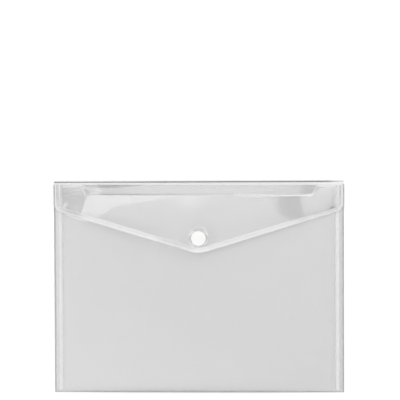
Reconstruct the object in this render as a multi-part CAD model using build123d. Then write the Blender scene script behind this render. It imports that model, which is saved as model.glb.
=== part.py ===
"""Clear document wallet: a folded and welded film pocket, its flap and a snap fastener.

The wallet lies on its back. X runs across it, Y runs from the bottom fold up to the
flap crease and Z runs out of the front. The origin is the centre of the back's outer face.
"""
import os

from build123d import *

# Driving dimensions, in millimetres

# Film
WALLET_WIDTH = 330.0
WALLET_HEIGHT = 240.0
FILM = 0.2

# Side welds
WELD_WIDTH = 2.5
WELD_MARGIN = 4.5
WELD_THICKNESS = 0.3

# Pocket mouth, with an end tab left standing at each side
MOUTH_DROP = 14.0
TAB_DROP = 4.2
MOUTH_HALF_WIDTH = 129.0
TAB_SLANT = 6.4
TAB_CORNER_RADIUS = 2.0

# How far the relaxed front panel stands up, at the snap, at the mouth and at the tabs
POCKET_BOW = 6.0
MOUTH_BOW = 4.2
TAB_BOW = 1.2

# How far the front panel stands up at heights above the bottom fold
LOW_BOW_HEIGHT = 20.0
LOW_BOW = 2.7
MIDDLE_BOW_HEIGHT = 50.0
MIDDLE_BOW = 4.7
UPPER_BOW_HEIGHT = 100.0
UPPER_BOW = 5.8

# How far the curve's handles reach in from the welds
BOW_HANDLE = 79.0

# Flap
FLAP_SIDE_DROP = 31.5
FLAP_TIP_DROP = 81.4
FLAP_CORNER_RADIUS = 10.0
FLAP_TIP_RADIUS = 36.0

# Gaps between flap and front panel, at the sides, at the tabs and at the mouth, then
# the share of the flap's last rise reached halfway from mouth to snap, and its dip
FLAP_CLEARANCE = 1.3
FLAP_TAB_GAP = 0.95
FLAP_MOUTH_GAP = 0.8
FLAP_HALFWAY_SHARE = 0.82
FLAP_TIP_DIP = 0.15

# Pressed border along the flap's free edge
BAND_WIDTH = 6.0
BAND_THICKNESS = 0.15
BAND_TOP_DROP = 3.0

# Snap fastener
SNAP_DROP = 63.5
SNAP_SEAT = 0.2
SNAP_PLAY = 0.4
SNAP_GAP = 0.1
CAP_DIAMETER = 16.5
CAP_HEIGHT = 1.5
CAP_EDGE = 0.8
CAP_EDGE_RADIUS = 0.3
BACK_CAP_HEIGHT = 1.3
POST_DIAMETER = 2.4
POST_FIT = 0.03
POST_HOLE_CLEARANCE = 0.3
RIVET_DIAMETER = 3.2
RIVET_HEIGHT = 0.4
SOCKET_DIAMETER = 11.5
SOCKET_HEIGHT = 2.0
SOCKET_WEB = 0.6
SOCKET_LIP = 0.2
SOCKET_LIP_HEIGHT = 0.4
STUD_DIAMETER = 10.4
STUD_FLANGE = 0.7
BULB_DIAMETER = 6.0
BULB_HEIGHT = 1.3
BULB_NECK = 0.25
BULB_HOLLOW_DIAMETER = 4.2

# Places that follow from the sizes above
HALF_WIDTH = WALLET_WIDTH / 2
HALF_HEIGHT = WALLET_HEIGHT / 2
WELD_OUTER = HALF_WIDTH - WELD_MARGIN
WELD_INNER = WELD_OUTER - WELD_WIDTH

BACK_TOP = FILM
FRONT_BOTTOM = BACK_TOP + WELD_THICKNESS
FRONT_TOP = FRONT_BOTTOM + FILM
FLAP_BOTTOM = FRONT_TOP + FLAP_CLEARANCE
FLAP_TOP = FLAP_BOTTOM + FILM

FOLD_RADIUS = FRONT_TOP / 2
FOLD_Y = -HALF_HEIGHT + FOLD_RADIUS
CREASE_RADIUS = FLAP_TOP / 2
CREASE_Y = HALF_HEIGHT - CREASE_RADIUS

MOUTH_Y = HALF_HEIGHT - MOUTH_DROP
TAB_Y = HALF_HEIGHT - TAB_DROP
SNAP_Y = HALF_HEIGHT - SNAP_DROP
SEAT_TOP_Y = SNAP_Y + CAP_DIAMETER / 2
SEAT_END_Y = SNAP_Y - CAP_DIAMETER / 2
TIP_Y = HALF_HEIGHT - FLAP_TIP_DROP
FLAP_SIDE_Y = HALF_HEIGHT - FLAP_SIDE_DROP

SNAP_STACK = SNAP_SEAT + STUD_FLANGE + SNAP_GAP + SOCKET_HEIGHT + SNAP_SEAT
FLAP_BOW = POCKET_BOW + SNAP_STACK - FLAP_CLEARANCE

# Heights of the snap's faces on the snap's own axis
STUD_SEAT_Z = FRONT_TOP + POCKET_BOW + SNAP_SEAT
STUD_FLANGE_TOP_Z = STUD_SEAT_Z + STUD_FLANGE
BACK_CAP_SEAT_Z = FRONT_BOTTOM + POCKET_BOW - SNAP_SEAT
SOCKET_BOTTOM_Z = STUD_FLANGE_TOP_Z + SNAP_GAP
SOCKET_WEB_Z = SOCKET_BOTTOM_Z + SOCKET_HEIGHT - SOCKET_WEB
CAP_SEAT_Z = FLAP_TOP + FLAP_BOW + SNAP_SEAT
TOP_Z = CAP_SEAT_Z + CAP_HEIGHT


def film_section(y, bottom, bow, thickness):
    """Outline of a film across the wallet: flat at both margins, bowed between the welds.

    The bowed edge is a cubic curve, which rises to three quarters of its handles' height.
    """
    peak = bow * 4 / 3
    edges = []
    for level, turn in ((bottom, 1), (bottom + thickness, -1)):
        outer = turn * HALF_WIDTH
        inner = turn * WELD_INNER
        handle = turn * (WELD_INNER - BOW_HANDLE)
        edges.append(Edge.make_line((-outer, y, level), (-inner, y, level)))
        edges.append(
            Edge.make_bezier(
                (-inner, y, level),
                (-handle, y, level + peak),
                (handle, y, level + peak),
                (inner, y, level),
            )
        )
        edges.append(Edge.make_line((inner, y, level), (outer, y, level)))
        edges.append(
            Edge.make_line((outer, y, level), (outer, y, level + turn * thickness))
        )
    return Wire(edges)


def bowed_film(stations, bottom, thickness):
    """Film that runs smoothly through the bows given at places along the wallet."""
    sections = [film_section(y, bottom, bow, thickness) for y, bow in stations]
    return Solid.make_loft(sections)


def upright(outline):
    """Block that stands on a flat outline, taller than the wallet, for cutting film."""
    return extrude(outline, amount=2 * TOP_Z)


def folded_strip(y, radius, side):
    """Half-round fold of film across the whole width, turned towards one side in Y."""
    ring = Circle(radius) - Circle(radius - FILM)
    half = ring & Pos(side * radius, 0) * Rectangle(2 * radius, 4 * radius)
    strip = extrude(half, amount=HALF_WIDTH, both=True)
    return Pos(0, y, radius) * Rot(90, 0, 0) * Rot(0, 90, 0) * strip


def turned(profile):
    """Piece of the snap, turned about the snap's axis from half of its section."""
    face = make_face(profile)
    return Pos(0, SNAP_Y, 0) * revolve(Plane.XZ * face, Axis.Z)


def post_hole():
    """Hole in the film for a snap post."""
    radius = POST_DIAMETER / 2 + POST_HOLE_CLEARANCE
    return Pos(0, SNAP_Y, TOP_Z) * Cylinder(radius, 4 * TOP_Z)


def flap_outline():
    """Pointed flap with rounded outer corners and a rounded tip."""
    outline = make_face(
        Polyline(
            (-HALF_WIDTH, CREASE_Y),
            (HALF_WIDTH, CREASE_Y),
            (HALF_WIDTH, FLAP_SIDE_Y),
            (0, TIP_Y),
            (-HALF_WIDTH, FLAP_SIDE_Y),
            close=True,
        )
    )
    sides = outline.vertices().sort_by(Axis.Y)[1:3]
    outline = fillet(sides, FLAP_CORNER_RADIUS)
    tip = outline.vertices().sort_by(Axis.Y)[0]
    return fillet(tip, FLAP_TIP_RADIUS)


def flap_stations():
    """Bows of the flap from its crease to past its tip."""
    tab_bow = TAB_BOW + FLAP_TAB_GAP - FLAP_CLEARANCE
    mouth_bow = MOUTH_BOW + FLAP_MOUTH_GAP - FLAP_CLEARANCE
    halfway_bow = mouth_bow + FLAP_HALFWAY_SHARE * (FLAP_BOW - mouth_bow)
    halfway_y = (MOUTH_Y + SEAT_TOP_Y) / 2
    return (
        (CREASE_Y, 0),
        (TAB_Y, tab_bow),
        (MOUTH_Y, mouth_bow),
        (halfway_y, halfway_bow),
        (SEAT_TOP_Y, FLAP_BOW),
        (SNAP_Y, FLAP_BOW),
        (SEAT_END_Y, FLAP_BOW),
        (TIP_Y, FLAP_BOW - FLAP_TIP_DIP),
    )


def back_panel():
    """Flat back sheet, from the bottom fold to the flap crease."""
    depth = CREASE_Y - FOLD_Y
    place = Pos(0, FOLD_Y + depth / 2, BACK_TOP / 2)
    return place * Box(WALLET_WIDTH, depth, FILM)


def front_panel():
    """Bowed front sheet with its flat margins, mouth, end tabs and post hole."""
    stations = (
        (FOLD_Y, 0),
        (FOLD_Y + LOW_BOW_HEIGHT, LOW_BOW),
        (FOLD_Y + MIDDLE_BOW_HEIGHT, MIDDLE_BOW),
        (FOLD_Y + UPPER_BOW_HEIGHT, UPPER_BOW),
        (SEAT_END_Y, POCKET_BOW),
        (SEAT_TOP_Y, POCKET_BOW),
        (MOUTH_Y, MOUTH_BOW),
        (TAB_Y, TAB_BOW),
    )
    film = bowed_film(stations, FRONT_BOTTOM, FILM)
    tab_x = MOUTH_HALF_WIDTH + TAB_SLANT
    mouth = make_face(
        Polyline(
            (-MOUTH_HALF_WIDTH, MOUTH_Y),
            (MOUTH_HALF_WIDTH, MOUTH_Y),
            (tab_x, TAB_Y),
            (tab_x, HALF_HEIGHT),
            (-tab_x, HALF_HEIGHT),
            (-tab_x, TAB_Y),
            close=True,
        )
    )
    mouth = fillet(mouth.vertices().group_by(Axis.Y)[0], TAB_CORNER_RADIUS)
    return film - upright(mouth) - post_hole()


def side_weld(side):
    """Fused bead between the back and front sheets along one side."""
    depth = TAB_Y - FOLD_Y
    x = side * (WELD_INNER + WELD_WIDTH / 2)
    place = Pos(x, FOLD_Y + depth / 2, BACK_TOP + WELD_THICKNESS / 2)
    return place * Box(WELD_WIDTH, depth, WELD_THICKNESS)


def flap_panel():
    """Flap sheet, cut to its outline, with its post hole."""
    film = bowed_film(flap_stations(), FLAP_BOTTOM, FILM)
    return (film & upright(flap_outline())) - post_hole()


def flap_edge_band():
    """Pressed border on the flap's outer face, along its sides and pointed edge."""
    film = bowed_film(flap_stations(), FLAP_TOP, BAND_THICKNESS)
    outline = flap_outline()
    inside = offset(outline, -BAND_WIDTH)
    band_top = HALF_HEIGHT - BAND_TOP_DROP
    above = Pos(0, band_top) * Rectangle(
        2 * (HALF_WIDTH - BAND_WIDTH), 2 * BAND_WIDTH
    )
    ends = Pos(0, band_top + BAND_WIDTH) * Rectangle(2 * WALLET_WIDTH, 2 * BAND_WIDTH)
    return film & upright(outline - inside - above - ends)


def cap_profile(seat, height, reach, facing):
    """Half section of a domed cap, its post and the rivet head on the post's end."""
    radius = CAP_DIAMETER / 2
    post = POST_DIAMETER / 2
    rivet = RIVET_DIAMETER / 2
    rim = seat + facing * CAP_EDGE
    crown = seat + facing * height
    end = reach - facing * RIVET_HEIGHT
    dome = TangentArc((0, crown), (radius, rim), tangent=(1, 0))
    rest = Polyline(
        (radius, rim),
        (radius, seat),
        (post, seat),
        (post, reach),
        (rivet, reach),
        (rivet, end),
        (0, end),
        (0, crown),
    )
    return dome + rest


def rounded_rim(cap, facing):
    """Cap with the edge between its rim and its dome rounded."""
    circles = cap.edges().filter_by(lambda edge: edge.is_closed)
    rims = circles.sort_by(SortBy.RADIUS)[-2:]
    outward = Axis((0, 0, 0), (0, 0, facing))
    return fillet(rims.sort_by(outward)[-1], CAP_EDGE_RADIUS)


def snap_cap():
    """Domed cap outside the flap, riveted through the flap into the socket's web."""
    cap = turned(cap_profile(CAP_SEAT_Z, CAP_HEIGHT, SOCKET_WEB_Z, 1))
    return rounded_rim(cap, 1)


def snap_back_cap():
    """Domed cap inside the pocket, riveted through the front panel into the stud."""
    cap = turned(cap_profile(BACK_CAP_SEAT_Z, BACK_CAP_HEIGHT, STUD_FLANGE_TOP_Z, -1))
    return rounded_rim(cap, -1)


def snap_socket():
    """Ring under the flap that closes over the stud's bulb."""
    bore = POST_DIAMETER / 2 + POST_FIT
    lip = BULB_DIAMETER / 2 + SNAP_PLAY
    cavity = lip + SOCKET_LIP
    outer = SOCKET_DIAMETER / 2
    top = SOCKET_BOTTOM_Z + SOCKET_HEIGHT
    lip_top = SOCKET_BOTTOM_Z + SOCKET_LIP_HEIGHT
    return turned(
        Polyline(
            (bore, top),
            (outer, top),
            (outer, SOCKET_BOTTOM_Z),
            (lip, SOCKET_BOTTOM_Z),
            (lip, lip_top),
            (cavity, lip_top + SOCKET_LIP),
            (cavity, SOCKET_WEB_Z),
            (bore, SOCKET_WEB_Z),
            close=True,
        )
    )


def snap_stud():
    """Flanged stud on the front panel, with a hollow bulb that enters the socket."""
    bore = POST_DIAMETER / 2 + POST_FIT
    hollow = BULB_HOLLOW_DIAMETER / 2
    bulb = BULB_DIAMETER / 2
    neck = bulb - BULB_NECK
    outer = STUD_DIAMETER / 2
    widest = STUD_FLANGE_TOP_Z + BULB_HEIGHT / 2
    top = STUD_FLANGE_TOP_Z + BULB_HEIGHT
    return turned(
        Polyline(
            (bore, STUD_SEAT_Z),
            (outer, STUD_SEAT_Z),
            (outer, STUD_FLANGE_TOP_Z),
            (neck, STUD_FLANGE_TOP_Z),
            (bulb, widest),
            (neck, top),
            (hollow, top),
            (hollow, STUD_FLANGE_TOP_Z),
            (bore, STUD_FLANGE_TOP_Z),
            close=True,
        )
    )


PIECES = {
    "back_panel": back_panel(),
    "front_panel": front_panel(),
    "bottom_fold": folded_strip(FOLD_Y, FOLD_RADIUS, -1),
    "left_side_weld": side_weld(-1),
    "right_side_weld": side_weld(1),
    "flap_crease": folded_strip(CREASE_Y, CREASE_RADIUS, 1),
    "flap_panel": flap_panel(),
    "flap_edge_band": flap_edge_band(),
    "snap_cap": snap_cap(),
    "snap_socket": snap_socket(),
    "snap_stud": snap_stud(),
    "snap_back_cap": snap_back_cap(),
}

os.makedirs("parts", exist_ok=True)
for name, piece in PIECES.items():
    export_step(piece, f"parts/{name}.step")
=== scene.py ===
# %% [markdown]
# # A clear document wallet
# The wallet is one sheet of clear polypropylene film. It is folded at the bottom, welded
# down both sides and creased at the top, where the flap turns over the front and a white
# snap holds it shut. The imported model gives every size. This lesson gives the film its
# soft swell, its pressed borders, its gloss and the studio that the gloss needs.

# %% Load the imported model
import math

import bpy
from mathutils import Euler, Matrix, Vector


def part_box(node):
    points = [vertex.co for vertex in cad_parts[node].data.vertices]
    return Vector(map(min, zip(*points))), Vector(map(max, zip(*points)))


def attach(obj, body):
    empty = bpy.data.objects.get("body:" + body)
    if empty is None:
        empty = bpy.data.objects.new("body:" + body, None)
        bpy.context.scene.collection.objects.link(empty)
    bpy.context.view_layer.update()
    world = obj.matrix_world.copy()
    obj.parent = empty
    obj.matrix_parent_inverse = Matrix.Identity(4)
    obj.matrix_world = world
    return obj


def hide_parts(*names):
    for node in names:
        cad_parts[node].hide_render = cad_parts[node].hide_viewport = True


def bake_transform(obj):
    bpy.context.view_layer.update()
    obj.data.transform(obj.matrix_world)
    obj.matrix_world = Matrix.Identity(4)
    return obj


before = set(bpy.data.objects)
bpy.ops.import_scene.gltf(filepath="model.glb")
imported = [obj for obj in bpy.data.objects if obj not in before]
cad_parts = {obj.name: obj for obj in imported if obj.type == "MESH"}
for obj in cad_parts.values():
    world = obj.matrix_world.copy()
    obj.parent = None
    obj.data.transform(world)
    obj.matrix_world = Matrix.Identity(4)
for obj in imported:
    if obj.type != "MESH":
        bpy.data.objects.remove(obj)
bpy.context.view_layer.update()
MM = 0.001

# %% [markdown]
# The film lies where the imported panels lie, so the sizes that the two share are read
# from the panels' corners. Only what the corners can't tell is written as a number.
# One size differs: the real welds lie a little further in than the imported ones.

# %% Sizes read from the frame
back_low, back_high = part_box("back_panel")
fold_low, fold_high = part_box("bottom_fold")
_, front_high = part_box("front_panel")
crease_low, crease_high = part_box("flap_crease")
_, flap_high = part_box("flap_panel")
weld_low, weld_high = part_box("right_side_weld")
cap_low, cap_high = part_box("snap_cap")

FILM = back_high.z - back_low.z
HALF_WIDTH = back_high.x
BOTTOM_Y = fold_low.y
FOLD_RADIUS = fold_high.z / 2
FLANGE_TOP = fold_high.z
WELD_SHIFT = 1.2 * MM
WELD_INNER = weld_low.x - WELD_SHIFT
WELD_OUTER = weld_high.x - WELD_SHIFT
TAB_Y = front_high.y
CREASE_Y = crease_low.y
CREASE_RADIUS = crease_high.z / 2
FLAP_ROOT = crease_high.z
SNAP_Y = (cap_low.y + cap_high.y) / 2
POCKET_BOW = front_high.z - FLANGE_TOP
FLAP_BOW = flap_high.z - FLAP_ROOT
print(f"film {FILM / MM:.2f} mm, pocket bow {POCKET_BOW / MM:.2f}, flap bow {FLAP_BOW / MM:.2f}")

# %% [markdown]
# Polypropylene film is clear and glossy, with a faint haze. It is so thin that it doesn't
# bend what is seen through it, so a Transparent shader with a slight tint stands for the
# clear part, and a Glossy one is mixed over it by the angle of view: about 4 % straight
# on and much more at a grazing angle. Facing, not Fresnel, drives this, because it
# works the same on both faces of a thin sheet. Painted shade greys the tint along cut
# edges, folds and a few other marks. Welded and pressed film turns milky white, and the
# same milky white also paints highlights and sheen and lifts shade elsewhere. Each sheet
# says on its points how much painted shade and how much whitening and painted light it
# has, so that one finish serves all its zones and fades softly.


# %% Helpers for materials
def linear(hex_colour):
    """Linear colour, with alpha, from an sRGB hex value."""
    parts = [int(hex_colour[i : i + 2], 16) / 255 for i in (1, 3, 5)]
    return [c / 12.92 if c <= 0.04045 else ((c + 0.055) / 1.055) ** 2.4 for c in parts] + [1]


def add_node(tree, kind, inputs, **settings):
    """Add one node with its settings, and set or link its inputs."""
    made = tree.nodes.new(kind)
    for name, value in settings.items():
        setattr(made, name, value)
    for name, value in inputs.items():
        socket = made.inputs[name]
        if not socket.enabled:
            socket = next(s for s in made.inputs if s.enabled and s.name == name)
        if isinstance(value, bpy.types.NodeSocket):
            tree.links.new(value, socket)
        else:
            socket.default_value = value
    return made


def new_material(name):
    """Empty node material, its tree and its output node."""
    material = bpy.data.materials.new(name)
    material.use_nodes = True
    material.node_tree.nodes.clear()
    output = add_node(material.node_tree, "ShaderNodeOutputMaterial", {})
    return material, material.node_tree, output


print(f"sRGB #808080 is {linear('#808080')[0]:.3f} in linear light")

# %% Clear film
POLYPROPYLENE_IOR = 1.49
FILM_GLOSS = ((POLYPROPYLENE_IOR - 1) / (POLYPROPYLENE_IOR + 1)) ** 2
GRAZING_POWER = 5
FILM_ROUGHNESS = {"To Min": 0.08, "To Max": 0.1}
UNEVEN_WHITENING = {"To Min": 0.92, "To Max": 1.0}
BACK_LIT_SHARE = 0.25
HAZE_GRAIN = 9 * MM
SMOOTHNESS_GRAIN = 35 * MM
# Most of a noise texture's values lie between these two.
NOISE_RANGE = {"From Min": 0.3, "From Max": 0.7}


def film_material(name, haze_low, haze_high):
    """Thin clear film: see-through, a little haze, and gloss by the angle of view.

    The sheet's attribute "painted_shade" greys the tint as painted shade, and its attribute
    "painted_light_and_whitening" turns it milky, as whitening and as painted light.
    """
    material, tree, output = new_material(name)
    place = add_node(tree, "ShaderNodeTexCoord", {}).outputs["Object"]
    painted_shade = add_node(tree, "ShaderNodeAttribute", {}, attribute_name="painted_shade").outputs["Fac"]
    painted_light_and_whitening = add_node(tree, "ShaderNodeAttribute", {}, attribute_name="painted_light_and_whitening").outputs["Fac"]
    grain = add_node(
        tree, "ShaderNodeTexNoise", {"Vector": place, "Scale": 1 / HAZE_GRAIN, "Detail": 4}
    ).outputs["Fac"]
    haze = add_node(
        tree,
        "ShaderNodeMapRange",
        {"Value": grain, **NOISE_RANGE, "To Min": haze_low, "To Max": haze_high},
    ).outputs["Result"]
    whitening_and_light = add_node(
        tree, "ShaderNodeMapRange", {"Value": grain, **NOISE_RANGE, **UNEVEN_WHITENING}
    ).outputs["Result"]
    # Milky white here is partly whitened film and partly painted light: highlights, sheen and lifted
    # shade.
    milkiness_and_painted_light = add_node(
        tree, "ShaderNodeMath", {0: painted_light_and_whitening, 1: whitening_and_light, 2: haze}, operation="MULTIPLY_ADD"
    ).outputs["Value"]
    patches = add_node(
        tree, "ShaderNodeTexNoise", {"Vector": place, "Scale": 1 / SMOOTHNESS_GRAIN, "Detail": 2}
    ).outputs["Fac"]
    roughness = add_node(
        tree, "ShaderNodeMapRange", {"Value": patches, **NOISE_RANGE, **FILM_ROUGHNESS}
    ).outputs["Result"]
    # Painted shade: the tint darkens towards #DADADA where the painted_shade value is high.
    tint_and_painted_shade = add_node(
        tree,
        "ShaderNodeMix",
        {"Factor": painted_shade, "A": linear("#FBFBFB"), "B": linear("#DADADA")},
        data_type="RGBA",
    ).outputs["Result"]
    clear = add_node(tree, "ShaderNodeBsdfTransparent", {"Color": tint_and_painted_shade}).outputs["BSDF"]
    front_lit = add_node(tree, "ShaderNodeBsdfDiffuse", {"Color": linear("#F8F8F8")})
    back_lit = add_node(tree, "ShaderNodeBsdfTranslucent", {"Color": linear("#F8F8F8")})
    milky = add_node(
        tree,
        "ShaderNodeMixShader",
        {0: BACK_LIT_SHARE, 1: front_lit.outputs["BSDF"], 2: back_lit.outputs["BSDF"]},
    ).outputs["Shader"]
    gloss = add_node(tree, "ShaderNodeBsdfGlossy", {"Roughness": roughness}).outputs["BSDF"]
    facing = add_node(tree, "ShaderNodeLayerWeight", {}).outputs["Facing"]
    grazing = add_node(
        tree, "ShaderNodeMath", {0: facing, 1: GRAZING_POWER}, operation="POWER"
    ).outputs["Value"]
    share = add_node(
        tree, "ShaderNodeMapRange", {"Value": grazing, "To Min": FILM_GLOSS, "To Max": 1}
    ).outputs["Result"]
    body = add_node(
        tree, "ShaderNodeMixShader", {0: milkiness_and_painted_light, 1: clear, 2: milky}
    ).outputs["Shader"]
    film = add_node(tree, "ShaderNodeMixShader", {0: share, 1: body, 2: gloss})
    tree.links.new(film.outputs["Shader"], output.inputs["Surface"])
    return material


# Cast film: clear and faintly grey, with soft sheen where it mirrors a lamp.
clear_film = film_material("clear_polypropylene_film", 0.011, 0.017)
# Pressed film: milkier, so that borders and welds show as pale lines on the clear sheet.
pressed_film = film_material("pressed_polypropylene_film", 0.02, 0.05)
print(f"{clear_film.name} and {pressed_film.name} mirror {FILM_GLOSS:.1%} straight on")

# %% [markdown]
# A relaxed film is flat at the welds and swells between them. Across the wallet the swell
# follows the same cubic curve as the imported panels. Along the wallet its height runs
# smoothly through a few stations. A lattice could bend a flat sheet to this, but
# a formula puts the film exactly over the solids that it stands for.

# %% The film's swell
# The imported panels' curve, as its slope in the middle and how much it bends.
CURVE_START = 1.125
CURVE_BEND = 0.125


def swell(x):
    """Share of the full bow at a place across the wallet: 1 in the middle, 0 at the welds."""
    across = min(abs(x) / WELD_INNER, 1)
    place = across
    for _ in range(4):
        error = CURVE_START * place - CURVE_BEND * place**3 - across
        place -= error / (CURVE_START - 3 * CURVE_BEND * place**2)
    return 1 - place**2


print("swell across the wallet:", [round(swell(x * MM), 2) for x in (0, 40, 80, 120, 158)])


# %% Smooth steps and lines
def eased(value, start, end):
    """Smooth step: 0 before the start, 1 past the end."""
    share = min(max((value - start) / (end - start), 0), 1)
    return share * share * (3 - 2 * share)


def smooth_through(stations, y):
    """Height at y on a smooth line through (y, height) stations, without overshoot."""
    steps = list(zip(stations, stations[1:]))
    slopes = [(after[1] - before[1]) / (after[0] - before[0]) for before, after in steps]
    turns = [slopes[0]]
    for before, after in zip(slopes, slopes[1:]):
        turns.append(2 * before * after / (before + after) if before * after > 0 else 0)
    turns.append(slopes[-1])
    y = min(max(y, stations[0][0]), stations[-1][0])
    index = max(i for i in range(len(steps)) if y >= stations[i][0])
    (low_y, low), (high_y, high) = steps[index]
    span = high_y - low_y
    share = (y - low_y) / span
    rise = share * share * (3 - 2 * share)
    leave = share * (1 - share) ** 2 * turns[index]
    arrive = share**2 * (share - 1) * turns[index + 1]
    return low + rise * (high - low) + span * (leave + arrive)


print("smooth step:", [round(eased(share / 4, 0, 1), 2) for share in range(5)])

# %% [markdown]
# No relaxed film is quite even. A slow ripple of three crossing waves shows in its sheen.
# A noise texture on a Displace modifier could do this too, but waves of known length
# are easy to keep away from the welds and the snap, where the film is held.

# %% Slow ripple
RIPPLE = 0.22 * MM
RIPPLE_LENGTHS = ((97 * MM, 143 * MM, 0.0), (61 * MM, -88 * MM, 1.3), (210 * MM, 67 * MM, 0.6))
CALM_RADIUS = 12 * MM


def ripple(x, y):
    """Slow unevenness of a relaxed film, none at the welds and none under the snap."""
    waves = sum(
        math.sin(math.tau * (x / length_x + y / length_y) + start)
        for length_x, length_y, start in RIPPLE_LENGTHS
    )
    calm = eased(math.hypot(x, y - SNAP_Y), CALM_RADIUS, 3 * CALM_RADIUS)
    return RIPPLE * calm * swell(x) * waves / len(RIPPLE_LENGTHS)


print("ripple in mm:", [round(ripple(x * MM, 0) / MM, 2) for x in (-120, -60, 0, 60, 120)])

# %% [markdown]
# The pocket is the back, the bottom fold and the front in one piece. The fold is tight at
# the welds and springs open to a rounder bend in the middle. The front's mouth is cut
# back between two end tabs, and hangs a little lower to the right. A curve could draw
# its edge, but a formula gives every column of the film its own end.

# %% Fold and mouth of the pocket
MOUTH_Y = TAB_Y - 8.8 * MM
MOUTH_HALF_WIDTH = 129 * MM
TAB_SLANT = 6.4 * MM
MOUTH_CORNER_RADIUS = 2 * MM
MOUTH_HANG = 1.3 * MM
HANG_ACROSS = (20 * MM, 125 * MM)
FOLD_OPENING = 2.0 * MM


def fold_radius(x):
    """Outer radius of the bottom fold, tight at the welds and open in the middle."""
    return FOLD_RADIUS + FOLD_OPENING * swell(x)


def mouth_edge(x):
    """Top edge of the front panel: mouth, rounded corner, slanted side and end tab."""
    across = abs(x)
    slope = (TAB_Y - MOUTH_Y) / TAB_SLANT
    tangent = MOUTH_CORNER_RADIUS * math.tan(math.atan(slope) / 2)
    arc_start = MOUTH_HALF_WIDTH - tangent
    arc_end = MOUTH_HALF_WIDTH + tangent * math.cos(math.atan(slope))
    if across <= arc_start:
        y = MOUTH_Y
    elif across < arc_end:
        reach = math.sqrt(MOUTH_CORNER_RADIUS**2 - (across - arc_start) ** 2)
        y = MOUTH_Y + MOUTH_CORNER_RADIUS - reach
    else:
        y = min(MOUTH_Y + slope * (across - MOUTH_HALF_WIDTH), TAB_Y)
    hang = MOUTH_HANG * eased(x, *HANG_ACROSS)
    return y - hang * (TAB_Y - y) / (TAB_Y - MOUTH_Y)


print(f"fold radius {fold_radius(0) / MM:.2f} mm in the middle, {FOLD_RADIUS / MM:.2f} at the welds")
mouth_heights = [round(mouth_edge(x * MM) / MM, 1) for x in (-160, 0, 120, 160)]
print("mouth edge from the left tab to the right one, in mm:", mouth_heights)

# %% [markdown]
# At the left end the front is pressed in under the flap, in a shallow valley that catches
# the light on one side. Sculpting could press it in too, but a formula can be measured
# and set again.

# %% Valley beside the mouth
HINGE_LINE = ((40 * MM, 103 * MM), (97 * MM, 93 * MM), (109 * MM, 84 * MM))
VALLEY_SLOPE = 0.08
VALLEY_LEAN = 0.22
VALLEY_FOOT = 41 * MM
VALLEY_RISE = 0.3
VALLEY_FADE = (-5 * MM, 5 * MM)


def beyond(line, x, y):
    """How far a point lies to the right of a bent line that runs down the wallet."""
    distances = []
    for (from_x, from_y), (to_x, to_y) in zip(line, line[1:]):
        past = (x - from_x) * (from_y - to_y) + (y - from_y) * (to_x - from_x)
        distances.append(past / math.hypot(to_x - from_x, to_y - from_y))
    return max(distances)


def corner_dip(x, y):
    """How deep the front is pressed in beside the left mouth corner, under the flap."""
    if x > 0:
        return 0
    valley = MOUTH_HALF_WIDTH + (MOUTH_Y - y) * VALLEY_LEAN
    depth = VALLEY_SLOPE * max(beyond(HINGE_LINE, min(abs(x), valley), y), 0)
    if abs(x) > valley:
        depth *= max(WELD_INNER - abs(x), 0) / (WELD_INNER - valley)
    foot = VALLEY_FOOT + VALLEY_RISE * abs(x)
    return depth * eased(y - foot, *VALLEY_FADE)


print(f"mouth corner dips {corner_dip(-MOUTH_HALF_WIDTH, MOUTH_Y) / MM:.2f} mm")

# %% [markdown]
# The front's height adds all this up: its bow, level where the snap holds it, less the
# valley and the lip. Even at its deepest the valley stays above the back.

# %% Height of the front
FRONT_BOWS = (
    (BOTTOM_Y + FOLD_RADIUS, 2 * FOLD_OPENING),
    (BOTTOM_Y + 20 * MM, 4.5 * MM),
    (BOTTOM_Y + 50 * MM, 4.9 * MM),
    (BOTTOM_Y + 100 * MM, 5.2 * MM),
    (SNAP_Y, 5.2 * MM),
    (MOUTH_Y, 4.9 * MM),
    (TAB_Y, 4.8 * MM),
)
SEAT_RADIUS = 8.3 * MM
SEAT_FADE = 12 * MM
VALLEY_LIMIT = 0.95
LIP_LENGTH = 2.5 * MM
LIP_DROP = 0.15 * MM


def held_at_snap(x, y, bow, seat):
    """Bow of a film that the snap holds level, at the height of its seat."""
    held = 1 - eased(math.hypot(x, y - SNAP_Y), SEAT_RADIUS, SEAT_FADE)
    return bow + held * (seat - bow)


def front_top(x, y):
    """Height of the front film's outer face."""
    bow = held_at_snap(x, y, swell(x) * smooth_through(FRONT_BOWS, y), POCKET_BOW)
    lip = max(y - (mouth_edge(x) - LIP_LENGTH), 0) / LIP_LENGTH
    dip = min(corner_dip(x, y) + LIP_DROP * lip**2, VALLEY_LIMIT * bow)
    return FLANGE_TOP + bow - dip + ripple(x, y)


print(f"front's height at the snap {front_top(0, SNAP_Y) / MM:.2f} mm")

# %% [markdown]
# Each film starts as a flat grid with one column of points for every place across the
# wallet and one row for every place along the sheet. The points then move to where the
# film lies, and a Solidify modifier gives the sheet its thickness. Each point also gets
# two values, painted shade and whitening with painted light, which the film's finish reads.


# %% Places for a grid's lines
def spaced(start, end, count):
    """Evenly spaced places from start to end, both included."""
    return [start + (end - start) * i / count for i in range(count + 1)]


def mirrored(half):
    """Places on both sides of the middle, from those on one side."""
    return [-x for x in reversed(half[1:])] + half


print("five places on both sides:", mirrored(spaced(0, 1, 2)))

# %% Making a sheet from a flat grid
SMOOTH_ANGLE = math.radians(40)


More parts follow.
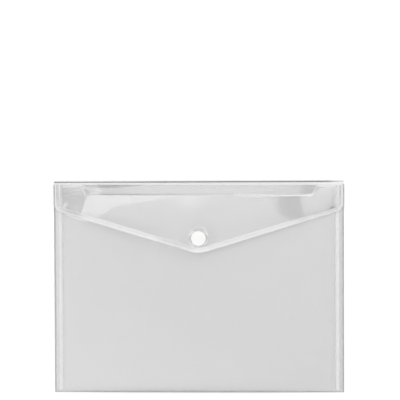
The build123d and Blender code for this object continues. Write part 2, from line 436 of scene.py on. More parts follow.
def film_sheet(name, columns, rows, place, work, thickness, finish):
    """Closed sheet whose points come from place(column, row).

    work(column, row) says how much painted shade and how much whitening and painted
    light the film has there. Solidify carries both over to the inner face, so that both
    faces of the sheet show them.
    """
    bpy.ops.object.select_all(action="DESELECT")
    bpy.ops.mesh.primitive_grid_add(
        x_subdivisions=len(columns) - 1, y_subdivisions=len(rows) - 1, size=1
    )
    sheet = bpy.context.object
    sheet.name = name
    sheet.data.name = name
    spots = []
    for point in sheet.data.vertices:
        column = round((point.co.x + 0.5) * (len(columns) - 1))
        row = round((point.co.y + 0.5) * (len(rows) - 1))
        spots.append((columns[column], rows[row]))
        point.co = place(*spots[-1])
    for index, label in enumerate(("painted_shade", "painted_light_and_whitening")):
        attribute = sheet.data.attributes.new(label, "FLOAT", "POINT")
        attribute.data.foreach_set("value", [work(*spot)[index] for spot in spots])
    sheet.data.materials.append(finish)
    wall = sheet.modifiers.new("film thickness", "SOLIDIFY")
    wall.thickness = thickness
    wall.offset = -1
    bpy.ops.object.modifier_apply(modifier=wall.name)
    bpy.ops.object.shade_smooth_by_angle(angle=SMOOTH_ANGLE)
    print(f"{name}: {len(columns)} by {len(rows)} points on each face")
    return sheet


# %% [markdown]
# The snap is riveted through both films, so each has a round hole for a post. A cylinder is
# used as the punch, and a Boolean modifier takes it away from the sheet. Modelling the
# hole into the grid would need a ring of faces of its own.

# %% Punching the snap's holes
POST_HOLE_RADIUS = 1.5 * MM
PUNCH_SIDES = 32


def punch_post_hole(sheet, z):
    """Cut the snap post's hole through the sheet at that height, with a round punch."""
    bpy.ops.object.select_all(action="DESELECT")
    bpy.ops.mesh.primitive_cylinder_add(
        vertices=PUNCH_SIDES, radius=POST_HOLE_RADIUS, depth=10 * FILM, location=(0, SNAP_Y, z)
    )
    punch = bpy.context.object
    hole = sheet.modifiers.new("post hole", "BOOLEAN")
    hole.object = punch
    hole.solver = "EXACT"
    bpy.context.view_layer.objects.active = sheet
    bpy.ops.object.modifier_apply(modifier=hole.name)
    bpy.data.objects.remove(punch)
    print(f"{sheet.name}: hole of {2 * POST_HOLE_RADIUS / MM:.1f} mm at {z / MM:.2f} mm")


# %% [markdown]
# The pocket's sheet runs from the crease down the back, round the fold and up the front.
# Its columns stand closest at the mouth's corners and over the welds, and its rows round
# the fold and along the lip. The lip is the rim of the mouth, turned down by a hair.

# %% Grid of the pocket
EDGE_WIDTH = 1.0 * MM
EDGE_X = HALF_WIDTH - EDGE_WIDTH
SLANT_END = MOUTH_HALF_WIDTH + TAB_SLANT
half_columns = (
    spaced(0, MOUTH_HALF_WIDTH - 1.2 * MM, 60)
    + spaced(MOUTH_HALF_WIDTH - 0.9 * MM, SLANT_END, 12)
    + spaced(SLANT_END + 1.5 * MM, WELD_INNER, 10)
    + [WELD_INNER + (WELD_OUTER - WELD_INNER) / 2, WELD_OUTER]
    + spaced(WELD_OUTER + 1.2 * MM, EDGE_X, 2)
    + [HALF_WIDTH]
)
pocket_columns = mirrored(half_columns)
pocket_rows = (
    [("back", share) for share in spaced(0, 1, 24)[:-1]]
    + [("fold", share) for share in spaced(0, 1, 14)]
    + [("front", share**1.2) for share in spaced(0, 1, 170)[1:]]
    + [("lip", share) for share in (0.35, 0.68, 1.0)]
)


def pocket_place(x, row):
    """Where the pocket film's outer face runs, for a column and a row of its sheet."""
    zone, share = row
    radius = fold_radius(x)
    start = BOTTOM_Y + radius
    lip_y = mouth_edge(x) - LIP_LENGTH
    if zone == "back":
        return (x, CREASE_Y + share * (start - CREASE_Y), 0)
    if zone == "fold":
        turn = share * math.pi
        return (x, start - radius * math.sin(turn), radius * (1 - math.cos(turn)))
    y = start + share * (lip_y - start) if zone == "front" else lip_y + share * LIP_LENGTH
    return (x, y, front_top(x, y))


mouth_middle = [round(value / MM, 2) for value in pocket_place(0, pocket_rows[-1])]
print("middle of the mouth in mm:", mouth_middle)

# %% [markdown]
# The pocket's cut sides and its fold are grey lines of painted shade. The strips over the
# welds are whitened, partly as a painted highlight, and the flange outside the left one is
# lightened with painted light. The lip is greyed with painted shade from its left corner
# to past the middle, with a painted glint below it at the left. Further right and on the
# tabs it carries a painted highlight. Separate materials by face could show this too, but
# their borders would be hard.

# %% Pocket film
EPSILON = 0.01 * MM
# Painted shade along the cut edges and round the bottom fold.
EDGE_SHADE = 0.55
CUT_EDGE_FADE = (0.4 * MM, 1.3 * EDGE_WIDTH)
FOLD_SHADE = 0.55
FOLD_TURN = (0, 0.4)
FOLD_FADE = 1.3 * MM
# Weld strips: whitened, and partly a painted highlight along the welds.
WELD_WHITENING_AND_HIGHLIGHT = 0.95
# The left flange is lightened with painted light.
FLANGE_PAINTED_LIGHT = 0.6
LIT_MOUTH_START = 40 * MM
# Painted shade on the lip from its left corner to past the middle.
LIP_SHADE = 0.3
DARK_LIP = (0.4, 0.6)
# Painted highlight on the lip further right and on the tabs, and a painted glint below it at the
# left.
LIP_PAINTED_HIGHLIGHT = 1.0
LIT_LIP = (0.1, 0.5)
GLINT_PAINTED_HIGHLIGHT = 0.3
GLINT_FADE = (-80 * MM, -40 * MM)


def cut_edge(inset):
    """Share of a cut edge's shade at a distance in from the edge."""
    return 1 - eased(inset, *CUT_EDGE_FADE)


def lip_work(x, share):
    """Painted shade and painted highlight on the lip between the welds."""
    if -MOUTH_HALF_WIDTH < x < LIT_MOUTH_START:
        dark = eased(share, *DARK_LIP)
        return LIP_SHADE * dark, GLINT_PAINTED_HIGHLIGHT * (1 - dark) * (1 - eased(x, *GLINT_FADE))
    return 0, LIP_PAINTED_HIGHLIGHT * eased(share, *LIT_LIP)


def pocket_work(x, row):
    """Painted shade, and whitening with painted light, on the pocket: edges, fold, welds, mouth."""
    zone, share = row
    across = abs(x)
    if zone == "lip" and across < WELD_INNER - EPSILON:
        return lip_work(x, share)
    painted_shade = EDGE_SHADE * cut_edge(HALF_WIDTH - across)
    painted_light_and_whitening = 0
    if zone in ("front", "lip") and WELD_INNER - EPSILON < across < WELD_OUTER + EPSILON:
        painted_light_and_whitening = WELD_WHITENING_AND_HIGHLIGHT
    if zone == "fold":
        painted_shade = max(painted_shade, FOLD_SHADE * eased(share, *FOLD_TURN))
    if zone == "front":
        rise = share * (mouth_edge(x) - BOTTOM_Y)
        painted_shade = max(painted_shade, FOLD_SHADE * (1 - eased(rise, 0, FOLD_FADE)))
        if WELD_OUTER + EPSILON < -x < EDGE_X - EPSILON:
            painted_light_and_whitening = FLANGE_PAINTED_LIGHT
        painted_light_and_whitening *= eased(rise, FOLD_FADE / 2, 2 * FOLD_FADE)
    return painted_shade, painted_light_and_whitening


pocket_film = film_sheet(
    "pocket_film", pocket_columns, pocket_rows, pocket_place, pocket_work, FILM, clear_film
)
punch_post_hole(pocket_film, front_top(0, SNAP_Y))
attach(pocket_film, "pocket")
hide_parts("back_panel", "bottom_fold", "front_panel")
print(f"pocket_film: {len(pocket_film.data.polygons)} faces")

# %% [markdown]
# The flap is the same sheet, carried on over the crease. It starts under the back's top
# edge, turns over and runs down to a pointed edge with rounded corners. Its outline is
# worked out from its tip, its sides and two radii, so that each arc runs into a straight.

# %% Outline of the flap
FLAP_TIP_Y = 38.6 * MM
FLAP_SIDE_Y = 88.5 * MM
FLAP_CORNER_RADIUS = 10 * MM
FLAP_TIP_RADIUS = 36 * MM
FLAP_LEAN = math.atan((FLAP_SIDE_Y - FLAP_TIP_Y) / HALF_WIDTH)
TIP_CENTRE_Y = FLAP_TIP_Y + FLAP_TIP_RADIUS / math.cos(FLAP_LEAN)
CORNER_CENTRE_X = HALF_WIDTH - FLAP_CORNER_RADIUS
CORNER_CENTRE_Y = (
    FLAP_TIP_Y
    + CORNER_CENTRE_X * math.tan(FLAP_LEAN)
    + FLAP_CORNER_RADIUS / math.cos(FLAP_LEAN)
)
TIP_END_X = FLAP_TIP_RADIUS * math.sin(FLAP_LEAN)
CORNER_START_X = CORNER_CENTRE_X + FLAP_CORNER_RADIUS * math.sin(FLAP_LEAN)


def flap_edge(x):
    """Free edge of the flap: rounded tip, straight slope and rounded corner."""
    across = abs(x)
    if across < TIP_END_X:
        return TIP_CENTRE_Y - math.sqrt(FLAP_TIP_RADIUS**2 - across**2)
    if across < CORNER_START_X:
        return FLAP_TIP_Y + across * math.tan(FLAP_LEAN)
    reach = max(FLAP_CORNER_RADIUS**2 - (across - CORNER_CENTRE_X) ** 2, 0)
    return CORNER_CENTRE_Y - math.sqrt(reach)


print(f"flap edge: tip {flap_edge(0) / MM:.1f} mm, side {flap_edge(HALF_WIDTH) / MM:.1f} mm")

# %% [markdown]
# The flap is a little fuller than the pocket below it. At the left it lies flat on the
# pocket's end tab and rises from the tab's outline, which draws a crisp line in its sheen.
# At the right the rim of the mouth lifts it in a soft ridge. A sculpted sheet could look
# the same, but here all of it is one height, worked out by place.

# %% Height of the flap
FLAP_BOWS = (
    (FLAP_TIP_Y, 9.3 * MM),
    (SNAP_Y, FLAP_BOW),
    (MOUTH_Y - 2 * MM, 4.1 * MM),
    (MOUTH_Y + 0.5 * MM, 3.55 * MM),
    (TAB_Y, 0.95 * MM),
    (CREASE_Y, 0),
)
FLAP_FULLNESS = 0.35
FLAP_RIPPLE_SHARE = 0.5
CREASE_CALM = 15 * MM
TAB_OUTLINE = ((-134.5 * MM, 115.5 * MM), (-126.5 * MM, 106.8 * MM), (-133 * MM, 88 * MM))
FLAT_SHARE = 0.1
FLAT_REACH = 36 * MM
# For each ridge, in mm: its height, its start, full part and end across, and its start,
# peak and end along the flap.
RIDGE_FORMS = (
    (1.4, (56, 104, 108, 127), (72, 104.5, 110)),
    (0.3, (112, 140, 170, 180), (50, 70, 118)),
)


def flap_ridge(x, y):
    """Height that the mouth's rim and the right tab lift the flap by, where they touch it."""
    lift = 0
    for height, across, along in RIDGE_FORMS:
        left, left_full, right_full, right = (place * MM for place in across)
        start, peak, end = (place * MM for place in along)
        ridge = eased(x, left, left_full) * (1 - eased(x, right_full, right))
        climb = min(max((y - start) / (peak - start), 0), 1) ** 2
        lift += height * MM * ridge * climb * (1 - eased(y, peak, end))
    return lift


def flap_top(x, y):
    """Height of the flap film's outer face: bowed, flat on the left tab, level at the snap."""
    full = swell(x) * (1 + FLAP_FULLNESS * (1 - swell(x)))
    past = min(max(beyond(TAB_OUTLINE, x, y) / FLAT_REACH, 0), 1)
    full *= FLAT_SHARE + (1 - FLAT_SHARE) * past * (2 - past)
    bow = held_at_snap(x, y, full * smooth_through(FLAP_BOWS, y), FLAP_BOW)
    calm = eased(CREASE_Y - y, 0, CREASE_CALM)
    return FLAP_ROOT + bow + flap_ridge(x, y) + FLAP_RIPPLE_SHARE * calm * ripple(x, y)


flap_heights = [round(flap_top(x * MM, MOUTH_Y) / MM, 1) for x in (-140, 0, 105)]
print("flap height over the mouth, left to right, in mm:", flap_heights)

# %% [markdown]
# The crease is a living hinge, where the flap's film turns between the two bodies. The
# sheet's last rows turn over the crease and stand out further than a half circle would.
# The rows before them make the line below it, which carries a painted highlight. A Bend
# modifier could fold a flat sheet, but it would not keep to the imported hinge.

# %% Grid of the flap
# Depth of the strip below the crease that carries a painted highlight, at each end.
HIGHLIGHT_STRIP_LEFT = 0.8 * MM
HIGHLIGHT_STRIP_RIGHT = 2.6 * MM
CREASE_BULGE = 1.2 * MM
corner_turns = spaced(FLAP_LEAN, math.pi / 2, 12)
half_flap = (
    spaced(0, TIP_END_X, 5)
    + spaced(TIP_END_X, CORNER_START_X, 76)[1:-1]
    + [CORNER_CENTRE_X + FLAP_CORNER_RADIUS * math.sin(turn) for turn in corner_turns]
)
flap_columns = mirrored(half_flap)
flap_rows = (
    [("panel", share) for share in spaced(0, 1, 64)[:-1]]
    + [("root", share) for share in spaced(0, 1, 3)[:-1]]
    + [("crease", share) for share in spaced(0, 1, 16)]
)


def highlight_strip_depth(x):
    """Depth of the strip below the crease that carries a painted highlight, growing to the right."""
    share = (x + HALF_WIDTH) / (2 * HALF_WIDTH)
    return HIGHLIGHT_STRIP_LEFT + share * (HIGHLIGHT_STRIP_RIGHT - HIGHLIGHT_STRIP_LEFT)


def flap_place(x, row):
    """Where the flap film's outer face runs, from its free edge over the crease to the back."""
    zone, share = row
    root_y = CREASE_Y - highlight_strip_depth(x)
    if zone == "crease":
        turn = share * math.pi
        y = CREASE_Y + (CREASE_RADIUS + CREASE_BULGE) * math.sin(turn)
        return (x, y, CREASE_RADIUS * (1 + math.cos(turn)))
    if zone == "root":
        y = root_y + share * highlight_strip_depth(x)
    else:
        edge = flap_edge(x)
        y = edge + share * (root_y - edge)
    return (x, y, flap_top(x, y))


print(f"flap grid: {len(flap_columns)} columns, {len(flap_rows)} rows")

# %% [markdown]
# The flap is greyed with painted shade along the outside of the crease, in a wedge below
# it at the left, along the cut sides and in a short dash at the right corner. Painted shade
# also darkens it a little where it spans the gap beside each tab.

# %% Grey marks on the flap
# Painted shade on the flap: crease, wedge, gaps beside the tabs and cut sides.
CREASE_SHADE = 0.62
CREASE_FADE = (140 * MM, 162 * MM)
CREASE_LEFT_LOSS = 0.3
CREASE_LEFT = (40 * MM, 90 * MM)
WEDGE_ACROSS = (-136 * MM, -126 * MM, -105 * MM, -45 * MM)
WEDGE_DEPTH = 5.5 * MM
WEDGE_CORE = 0.4
WEDGE_SHADE = 0.42
TAB_RIM = ((-154.5 * MM, 116 * MM), (-134 * MM, 116 * MM), (-128.3 * MM, 105.5 * MM))
RIGHT_TAB_SHIFT = 1.4 * MM
GAP_START = (0.5 * MM, 2.5 * MM)
GAP_END = (9 * MM, 19 * MM)
GAP_DEPTH = (8.5 * MM, 10.5 * MM)
GAP_SHADE = 0.22
# Painted shade: a short dark dash at the right corner.
CORNER_DASH = ((149.5 * MM, 90 * MM), (158 * MM, 92.8 * MM))
CORNER_DASH_RADIUS = 1.6 * MM
CORNER_DASH_SHADE = 0.5


def beside(line, x, y):
    """Distance of a point from a short straight line."""
    (from_x, from_y), (to_x, to_y) = line
    run, rise = to_x - from_x, to_y - from_y
    share = ((x - from_x) * run + (y - from_y) * rise) / (run * run + rise * rise)
    share = min(max(share, 0), 1)
    return math.hypot(x - from_x - share * run, y - from_y - share * rise)


def crease_shade(x):
    """How grey the crease is: full in the middle, less to the left, none at the right end."""
    lost = CREASE_LEFT_LOSS * eased(-x, *CREASE_LEFT)
    return CREASE_SHADE * (1 - eased(x, *CREASE_FADE)) * (1 - lost)


def flap_shade(x, y):
    """How much painted shade the flap's panel has: wedge, gaps by the tabs, cut sides, dash."""
    below = CREASE_Y - highlight_strip_depth(x) - y
    start, full, taper, end = WEDGE_ACROSS
    depth = WEDGE_DEPTH * (1 - eased(x, taper, end)) * eased(x, start, full)
    wedge = 1 - eased(below, WEDGE_CORE * depth, depth) if depth > 0 else 0
    inside = beyond(TAB_RIM[1:], min(x, RIGHT_TAB_SHIFT - x), y)
    gap = eased(inside, *GAP_START) * (1 - eased(inside, *GAP_END))
    gap *= 1 - eased(below, *GAP_DEPTH)
    dash = 1 - eased(beside(CORNER_DASH, x, y), 0, CORNER_DASH_RADIUS)
    side = cut_edge(HALF_WIDTH - abs(x))
    return max(WEDGE_SHADE * wedge, GAP_SHADE * gap, CORNER_DASH_SHADE * dash, EDGE_SHADE * side)


crease_shades = [round(crease_shade(x * MM), 2) for x in (-160, 0, 160)]
print("shade of the crease, left to right:", crease_shades)

# %% [markdown]
# Polypropylene whitens where it is stretched or pressed, and on the flap the same milky
# white paints light: a highlight along the line below the crease, the strips over the welds
# and the rim of the left tab under it, and lifted shade round the snap's rivet, over the
# left tab and beside the welds. It also makes a brighter spot at the left corner. A painted
# picture could carry all this, but it would be a file of its own, so each mark is a value
# on the points.

# %% White marks on the flap
# Painted highlight on the strip below the crease.
ROOT_PAINTED_HIGHLIGHT = 0.75
CREASE_START = 0.1
# Painted light: highlights over the welds and the tab rim, lifted shade at the rivet, on the tab and
# beside the welds.
SIDE_PAINTED_LIGHT = 0.6
SIDE_START = (WELD_INNER - 0.8 * MM, WELD_INNER + 0.2 * MM)
SIDE_FALL = (WELD_OUTER - 0.3 * MM, WELD_OUTER + 0.7 * MM)
SIDE_LOSS = 0.35
RIM_PAINTED_HIGHLIGHT = 0.4
RIM_FADE = (0.3 * MM, 1.8 * MM)
CORNER_BRIGHT_SPOT = ((-155 * MM, 89.5 * MM), (-151.5 * MM, 95 * MM))
CORNER_BRIGHT_SPOT_RADIUS = 5 * MM
CORNER_BRIGHT_SPOT_LEVEL = 0.7
SNAP_PAINTED_LIGHT = 0.3
SNAP_PAINTED_LIGHT_FADE = (9 * MM, 13 * MM)
TAB_PAINTED_LIGHT = 0.22
TAB_PAINTED_LIGHT_FADE = (-2 * MM, 0)
NEAR_WELD_PAINTED_LIGHT = 0.55
NEAR_WELD = 5 * MM
PAINTED_LIGHT_TOP = (98 * MM, 113 * MM)


def flap_light_and_whitening(x, y):
    """Milky white as painted light on the flap's panel: welds, tab rim, corner spot, rivet, tab."""
    across = abs(x)
    side = eased(across, *SIDE_START) * (1 - SIDE_LOSS * eased(across, *SIDE_FALL))
    rim = min(beside(TAB_RIM[:2], x, y), beside(TAB_RIM[1:], x, y))
    bright_spot = beside(CORNER_BRIGHT_SPOT, x, y)
    on_tab = TAB_PAINTED_LIGHT * (1 - eased(beyond(TAB_OUTLINE, x, y), *TAB_PAINTED_LIGHT_FADE))
    near_weld = NEAR_WELD_PAINTED_LIGHT * (1 - eased(WELD_INNER - across, 0, NEAR_WELD))
    return max(
        SIDE_PAINTED_LIGHT * side * (1 - cut_edge(HALF_WIDTH - across)),
        RIM_PAINTED_HIGHLIGHT * (1 - eased(rim, *RIM_FADE)),
        CORNER_BRIGHT_SPOT_LEVEL * (1 - eased(bright_spot, 0, CORNER_BRIGHT_SPOT_RADIUS)),
        SNAP_PAINTED_LIGHT * (1 - eased(math.hypot(x, y - SNAP_Y), *SNAP_PAINTED_LIGHT_FADE)),
        max(on_tab, near_weld) * (1 - eased(y, *PAINTED_LIGHT_TOP)),
    )


def flap_work(x, row):
    """Painted shade, and whitening with painted light, on the flap film from its edge over the
    crease.
    """
    zone, share = row
    if zone == "root" or (zone == "crease" and share <= CREASE_START):
        return 0, ROOT_PAINTED_HIGHLIGHT
    if zone == "crease":
        return crease_shade(x), 0
    y = flap_place(x, row)[1]
    return flap_shade(x, y), flap_light_and_whitening(x, y)


print(f"whitening of the flap over a weld: {flap_light_and_whitening(WELD_OUTER, CORNER_CENTRE_Y):.2f}")

# %% [markdown]
# The flap's film is one sheet from its free edge over the crease, and is not attached to
# either body. Two separate sheets would tear apart there.

# %% Flap film
flap_film = film_sheet(
    "flap_film", flap_columns, flap_rows, flap_place, flap_work, FILM, clear_film
)
punch_post_hole(flap_film, flap_top(0, SNAP_Y))
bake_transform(flap_film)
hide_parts("flap_crease", "flap_panel")
print(f"flap_film: {len(flap_film.data.polygons)} faces")

# %% [markdown]
# The flap's free edge is stiffened by a pressed border. A bevelled curve would be round,
# so the border is a strip of its own that follows the edge. Stations along the edge, each
# with the way it faces, turn the strip round the tip and the corners.

# %% Path of the border
BAND_TOP_Y = 117 * MM


def band_path():
    """Stations along the flap's edge from end to end, each with the way that the edge faces."""
    stations = []
    for turn in spaced(0, FLAP_LEAN, 6):
        x = FLAP_TIP_RADIUS * math.sin(turn)
        stations.append((x, TIP_CENTRE_Y - FLAP_TIP_RADIUS * math.cos(turn), turn))
    for x in spaced(TIP_END_X, CORNER_START_X, 90)[1:]:
        stations.append((x, FLAP_TIP_Y + x * math.tan(FLAP_LEAN), FLAP_LEAN))
    for turn in corner_turns[1:]:
        x = CORNER_CENTRE_X + FLAP_CORNER_RADIUS * math.sin(turn)
        stations.append((x, CORNER_CENTRE_Y - FLAP_CORNER_RADIUS * math.cos(turn), turn))
    for y in spaced(CORNER_CENTRE_Y, BAND_TOP_Y, 14)[1:]:
        stations.append((HALF_WIDTH, y, math.pi / 2))
    return [(-x, y, -turn) for x, y, turn in reversed(stations[1:])] + stations


band_stations = band_path()
print(f"border: {len(band_stations)} stations")

# %% [markdown]
# The press leaves a small ridge along each side of the border. A Bevel modifier would
# treat every edge alike, so the ridges are heights across the strip. The border is
# narrower up the sides and towards its right end.

# %% Shape of the border
BAND_WIDTH = 6 * MM
SIDE_BAND_WIDTH = 2.8 * MM
BAND_LIFT = 0.02 * MM
BAND_THICKNESS = 0.13 * MM
RIDGE_HEIGHT = 0.1 * MM
RIDGE_HALF = 0.7 * MM
RIDGES = (0.8 * MM, 5.2 * MM)
NARROWING = (90 * MM, 140 * MM)
NARROW_SHARE = 0.55


def on_side(turn):
    """Share by which the edge faces sideways: 0 along the point, 1 along the sides."""
    return eased(abs(turn), FLAP_LEAN, math.pi / 2)


def band_depth(inset, station):
    """Distance in from the flap's edge, in a band that is narrower at the sides and right."""
    x, _, turn = station
    narrowed = max(on_side(turn), NARROW_SHARE * eased(x, *NARROWING))
    return inset * (1 + narrowed * (SIDE_BAND_WIDTH / BAND_WIDTH - 1))


def band_place(inset, station):
    """Where the band's outer face runs, at a distance in from the flap's edge."""
    x, y, turn = station
    depth = band_depth(inset, station)
    x -= depth * math.sin(turn)
    y += depth * math.cos(turn)
    ridge = sum(1 - eased(abs(inset - middle), 0, RIDGE_HALF) for middle in RIDGES)
    return (x, y, flap_top(x, y) + BAND_LIFT + BAND_THICKNESS + RIDGE_HEIGHT * ridge)


ridge_steps = [RIDGE_HALF * share for share in (-1, -0.5, 0, 0.5, 1)]
band_insets = sorted(
    [0, BAND_WIDTH / 2, BAND_WIDTH] + [middle + step for middle in RIDGES for step in ridge_steps],
    reverse=True,
)
print(f"border: {len(band_insets)} places across it")

# %% [markdown]
# The border is whitest along the ridges. Along the edge its milky white also rises and
# falls from place to place as a painted sheen, and up the sides its cut edge is greyed with
# painted shade.

# %% Flap edge band
# Painted sheen: the border's milky white rises and falls along the edge.
BAND_WHITENING_AND_SHEEN = (
    (-165 * MM, 0.84),
    (-157 * MM, 0.5),
    (-148 * MM, 0.3),
    (-142 * MM, 0.3),
    (-128 * MM, 0.6),
    (-60 * MM, 0.6),
    (-32 * MM, 0.28),
    (-20 * MM, 0.3),
    (0, 0.68),
    (30 * MM, 0.6),
    (95 * MM, 0.6),
    (130 * MM, 0.42),
    (157 * MM, 0.42),
    (165 * MM, 0.84),
)
RIDGE_WHITENING = 0.16


def band_work(inset, station):
    """Whitening and painted sheen on the band, most on its ridges; painted shade at cut sides."""
    ridge = max(1 - eased(abs(inset - middle), 0, RIDGE_HALF) for middle in RIDGES)
    edge = on_side(station[2]) * cut_edge(band_depth(inset, station))
    whitening_and_light = smooth_through(BAND_WHITENING_AND_SHEEN, station[0]) + RIDGE_WHITENING * ridge
    return (EDGE_SHADE * edge, whitening_and_light * (1 - edge))


flap_band = film_sheet(
    "flap_band",
    band_insets,
    band_stations,
    band_place,
    band_work,
    BAND_THICKNESS,
    pressed_film,
)
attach(flap_band, "flap")
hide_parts("flap_edge_band")
print(f"flap_band: {len(flap_band.data.polygons)} faces")

# %% [markdown]
# Each side weld is a narrow strip where a ribbed bar has melted front and back together.
# One strip is modelled with the bar's ribs pressed across it, and its copy is mirrored
# to the other side. A Mirror modifier would make both at once, but each weld is a piece
# of its own.

# %% Side welds
RIB_PITCH = 1.5 * MM
RIB_DEPTH = 0.05 * MM
WELD_CLEARANCE = 0.02 * MM
weld_columns = spaced(WELD_INNER, WELD_OUTER, 6)
weld_start = BOTTOM_Y + 2 * FOLD_RADIUS
weld_rows = spaced(weld_start, TAB_Y - EDGE_WIDTH, 4 * round((TAB_Y - weld_start) / RIB_PITCH))


def weld_place(x, y):
    """Where the top of a weld runs, with its ribs across it."""
    rib = 0.5 - 0.5 * math.cos(math.tau * (y - weld_start) / RIB_PITCH)
    return (x, y, weld_high.z - WELD_CLEARANCE - RIB_DEPTH * rib)


weld_thickness = weld_high.z - weld_low.z - 2 * WELD_CLEARANCE - RIB_DEPTH
# The welds are whitened all over, which also paints the highlight along them.
right_weld = film_sheet(
    "right_weld",
    weld_columns,
    weld_rows,
    weld_place,
    lambda *_: (0, WELD_WHITENING_AND_HIGHLIGHT),
    weld_thickness,
    pressed_film,
)
bpy.ops.object.select_all(action="DESELECT")
right_weld.select_set(True)
bpy.context.view_layer.objects.active = right_weld
bpy.ops.object.duplicate()
left_weld = bpy.context.object
left_weld.name = "left_weld"
left_weld.data.name = "left_weld"
bpy.ops.object.mode_set(mode="EDIT")
bpy.ops.mesh.select_all(action="SELECT")
bpy.ops.transform.mirror(constraint_axis=(True, False, False), center_override=(0, 0, 0))
bpy.ops.mesh.normals_make_consistent(inside=False)
bpy.ops.object.mode_set(mode="OBJECT")
for weld, node_name in ((right_weld, "right_side_weld"), (left_weld, "left_side_weld")):
    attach(weld, "pocket")
    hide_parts(node_name)
    print(f"{weld.name}: {len(weld.data.polygons)} faces, {len(weld_rows) // 4} ribs")

# %% [markdown]
# The snap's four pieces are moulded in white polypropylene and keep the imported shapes.
# A moulded face is semi-gloss and very slightly uneven, so a fine noise drives both
# the roughness and a small bump. To the eye it is a plain bright white with a soft sheen,
# which sets it off from the clear film.

# %% White snap
# A real mould's grain is finer, but would not show at all.
MOULD_GRAIN = 0.6 * MM
SNAP_ROUGHNESS = {"To Min": 0.3, "To Max": 0.42}
MOULD_BUMP = {"Strength": 0.15, "Distance": 0.02 * MM}


def snap_material():
    """White moulded plastic, semi-gloss, with the mould's fine grain."""
    material, tree, output = new_material("white_moulded_polypropylene")
    place = add_node(tree, "ShaderNodeTexCoord", {}).outputs["Object"]
    grain = add_node(
        tree, "ShaderNodeTexNoise", {"Vector": place, "Scale": 1 / MOULD_GRAIN, "Detail": 3}
    ).outputs["Fac"]
    roughness = add_node(
        tree, "ShaderNodeMapRange", {"Value": grain, **NOISE_RANGE, **SNAP_ROUGHNESS}
    ).outputs["Result"]
    bump = add_node(tree, "ShaderNodeBump", {"Height": grain, **MOULD_BUMP}).outputs["Normal"]
    plastic = add_node(
        tree,
        "ShaderNodeBsdfPrincipled",
        {
            "Base Color": linear("#F0F0EF"),
            "Roughness": roughness,
            "Normal": bump,
            "IOR": POLYPROPYLENE_IOR,
        },
    )
    tree.links.new(plastic.outputs["BSDF"], output.inputs["Surface"])
    return material


white_snap = snap_material()
for name in ("snap_cap", "snap_socket", "snap_stud", "snap_back_cap"):
    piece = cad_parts[name]
    piece.data.materials.clear()
    piece.data.materials.append(white_snap)
    print(f"{name}: {white_snap.name}")

# %% [markdown]
# Clear film shows what is round it, so the studio is part of its look. The floor is white.
# It glows a little to the camera, straight or through the film, so that it looks evenly
# white as photographers light it. More lamps would do that too, but they would show in the film.

# %% Floor
FLOOR_SIZE = 8
FLOOR_GAP = 0.3 * MM
FLOOR_GLOW = 0.13
bpy.ops.object.select_all(action="DESELECT")
bpy.ops.mesh.primitive_plane_add(size=FLOOR_SIZE, location=(0, 0, -FLOOR_GAP))
floor = bpy.context.object
floor.name = "floor"
floor_white, tree, output = new_material("white_studio_floor")
light_path = add_node(tree, "ShaderNodeLightPath", {})
seen = light_path.outputs["Is Camera Ray"]
for ray in ("Is Glossy Ray", "Is Transmission Ray"):
    seen = add_node(
        tree, "ShaderNodeMath", {0: seen, 1: light_path.outputs[ray]}, operation="MAXIMUM"
    ).outputs["Value"]
lift = add_node(
    tree, "ShaderNodeMapRange", {"Value": seen, "To Min": 0, "To Max": FLOOR_GLOW}
).outputs["Result"]
paint = add_node(tree, "ShaderNodeBsdfDiffuse", {"Color": linear("#F4F4F4")})
glow = add_node(tree, "ShaderNodeEmission", {"Strength": lift})
both = add_node(
    tree, "ShaderNodeAddShader", {0: paint.outputs["BSDF"], 1: glow.outputs["Emission"]}
)
tree.links.new(both.outputs["Shader"], output.inputs["Surface"])
floor.data.materials.append(floor_white)
print(f"{floor.name}: {FLOOR_SIZE} m square, {FLOOR_GAP / MM:.1f} mm below the wallet")

# %% [markdown]
# To the camera the room is white too. In the film's gloss it is bright low down and dim
# overhead, with a glow at the front left that stops short of the horizon. A picture of
# a studio would do as well, but a few ramps by direction need no file.

# %% Room
# Ramps by the height of the direction, and by how far it turns to the glow's side.
ROOM_BY_HEIGHT = {"From Min": 0.6, "From Max": 0.86, "To Min": 0.79, "To Max": 0.25}
GLOW_SIDE = (-0.5, -0.87, 0)
GLOW_BY_SIDE = {"From Min": 0.125, "From Max": 0.375, "To Min": 0, "To Max": 0.9}
GLOW_BY_HEIGHT = {"From Min": 0.3, "From Max": 0.5}
world = bpy.data.worlds.new("white_cove")
bpy.context.scene.world = world
world.use_nodes = True
tree = world.node_tree
tree.nodes.clear()
way = add_node(tree, "ShaderNodeTexCoord", {}).outputs["Generated"]
height = add_node(tree, "ShaderNodeSeparateXYZ", {"Vector": way}).outputs["Z"]
strength = add_node(
    tree,
    "ShaderNodeMapRange",
    {"Value": height, **ROOM_BY_HEIGHT},
    interpolation_type="SMOOTHSTEP",
).outputs["Result"]
toward = add_node(
    tree, "ShaderNodeVectorMath", {0: way, 1: GLOW_SIDE}, operation="DOT_PRODUCT"
).outputs["Value"]
glow = add_node(tree, "ShaderNodeMapRange", {"Value": toward, **GLOW_BY_SIDE}).outputs["Result"]
raised = add_node(
    tree,
    "ShaderNodeMapRange",
    {"Value": height, **GLOW_BY_HEIGHT},
    interpolation_type="SMOOTHSTEP",
).outputs["Result"]
strength = add_node(
    tree, "ShaderNodeMath", {0: glow, 1: raised, 2: strength}, operation="MULTIPLY_ADD"
).outputs["Value"]
seen = add_node(tree, "ShaderNodeLightPath", {}).outputs["Is Camera Ray"]
strength = add_node(
    tree, "ShaderNodeMath", {0: strength, 1: seen}, operation="MAXIMUM"
).outputs["Value"]
sky = add_node(tree, "ShaderNodeBackground", {"Color": linear("#FFFFFF"), "Strength": strength})
add_node(tree, "ShaderNodeOutputWorld", {"Surface": sky.outputs["Background"]})
print(f"{world.name}: {len(tree.nodes)} nodes")

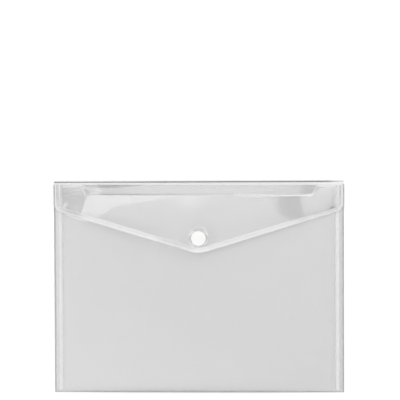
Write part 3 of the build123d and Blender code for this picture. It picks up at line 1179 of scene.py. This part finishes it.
# %% [markdown]
# One long softbox over the flap gives it its sheen. A smaller, dimmer one behind it is seen
# in the strip below the crease. A key lamp at the top right, turned to the wallet, draws
# the short shadows of the cap and the flap's edge.


# %% Softboxes
def softbox(name, place, width, depth, radiance):
    """Rectangular lamp that faces down, with its brightness as seen in a mirror."""
    bpy.ops.object.light_add(type="AREA", location=place)
    lamp = bpy.context.object
    lamp.name = name
    lamp.data.shape = "RECTANGLE"
    lamp.data.size = width
    lamp.data.size_y = depth
    lamp.data.energy = math.pi * width * depth * radiance
    lamp.visible_camera = False
    print(f"{name}: {lamp.data.energy:.2f} W")
    return lamp


softbox("top_softbox", place=(0.02, 0.3, 1.5), width=1.86, depth=0.36, radiance=2.8)
softbox("back_softbox", place=(-0.03, 0.87, 1.5), width=0.5, depth=0.75, radiance=0.9)
key_lamp = softbox("key_lamp", place=(0.9, 1.1, 1.3), width=0.5, depth=0.5, radiance=4.5)
key_lamp.rotation_euler = (-key_lamp.location).to_track_quat("-Z", "Y").to_euler()

# %% [markdown]
# The picture is taken from above the table, 1.2 m away and leaned by about a degree, so
# the sides stay almost upright. The lens is worked out from the size of one pixel on the
# table, which sets the wallet's size in the frame. It sits low there.

# %% Camera
PICTURE_PX = 400
PIXEL = 1.139 * MM
CAMERA_AIM = Vector((1.8 * MM, 99.65 * MM, 0))
CAMERA_DISTANCE = 1.2
CAMERA_LEAN = Euler((math.radians(-1.13), math.radians(1.44), math.radians(-0.23)))
camera_place = CAMERA_AIM + CAMERA_LEAN.to_matrix() @ Vector((0, 0, CAMERA_DISTANCE))
bpy.ops.object.camera_add(location=camera_place, rotation=CAMERA_LEAN)
camera = bpy.context.object
camera.data.sensor_width = 36
camera.data.lens = camera.data.sensor_width * CAMERA_DISTANCE / (PICTURE_PX * PIXEL)
bpy.context.scene.camera = camera
bpy.context.scene.view_settings.view_transform = "Standard"
# Each film has two faces, so a line of sight passes through many of them.
bpy.context.scene.cycles.transparent_max_bounces = 24
print(f"lens {camera.data.lens:.1f} mm, one pixel is {PIXEL / MM:.3f} mm")
